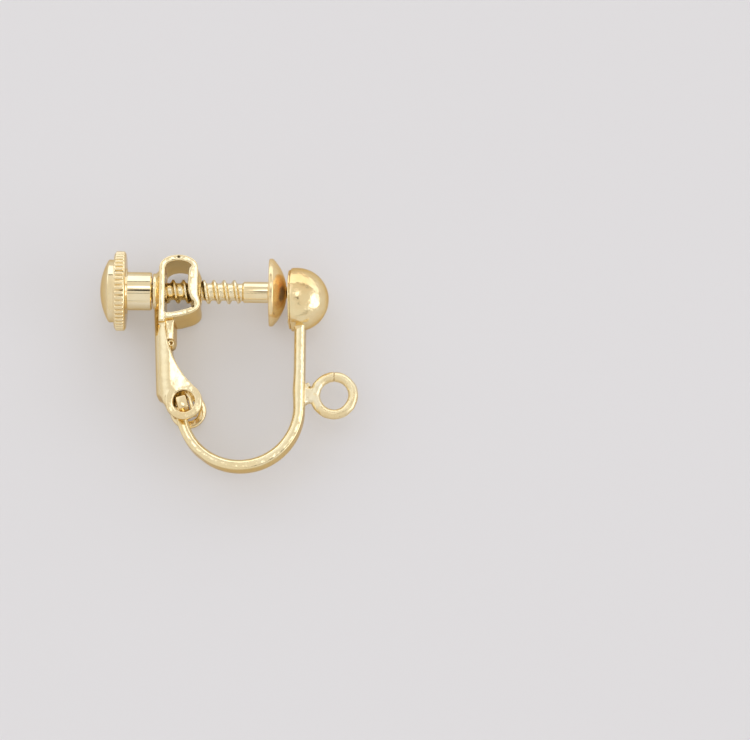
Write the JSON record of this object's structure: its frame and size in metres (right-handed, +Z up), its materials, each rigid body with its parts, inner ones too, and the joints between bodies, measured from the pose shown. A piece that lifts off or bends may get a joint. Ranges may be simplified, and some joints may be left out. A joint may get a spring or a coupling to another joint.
{
  "type": "clip-on screw earring",
  "caption": "Clip-on earring with a flat-wire frame, a half-ball front, a drop ring, a hinged lever and a thumb screw with a round clamping pad.",
  "frame": {"origin": "middle of the overall box at the surface the earring lies on", "axes": "+X along the screw from the knob to the half ball and ring, +Y from the bottom bend to the lever's arch, +Z up from the surface"},
  "size_m": [0.017, 0.0146, 0.0053],
  "materials": {
    "gold_plating": "polished pale gold plating over brass",
    "gold_plating_thread": "pale gold plating over a cut brass thread"
  },
  "bodies": {
    "frame": {"ear_frame": "gold_plating"},
    "lever": {"lever": "gold_plating", "spring_leaf": "gold_plating"},
    "pad": {"clamp_pad": "gold_plating"},
    "screw": {"screw_rod": "gold_plating_thread", "thumb_knob": "gold_plating"}
  },
  "joints": [
    {"name": "lever_hinge", "type": "hinge", "parent": "frame", "child": "lever", "pos_m": [-0.00273, -0.00292, 0.00184], "axis": [-0.0117, -0.0799, 0.9967], "range_deg": [0, 70], "deforming": ["spring_leaf"]},
    {"name": "pad_slide", "type": "slide", "parent": "lever", "child": "pad", "axis": [0.9992, 0.0042, -0.0405], "range_m": [-0.004, 0]},
    {"name": "screw_turn", "type": "hinge", "parent": "pad", "child": "screw", "pos_m": [-0.00073, 0.00473, 0.00237], "axis": [0.9992, 0.0042, -0.0405], "range_deg": [-2159, 0]}
  ],
  "couplings": [
    {"joint": "screw_turn", "follows": "pad_slide", "rad_per_m": 9420.1}
  ]
}
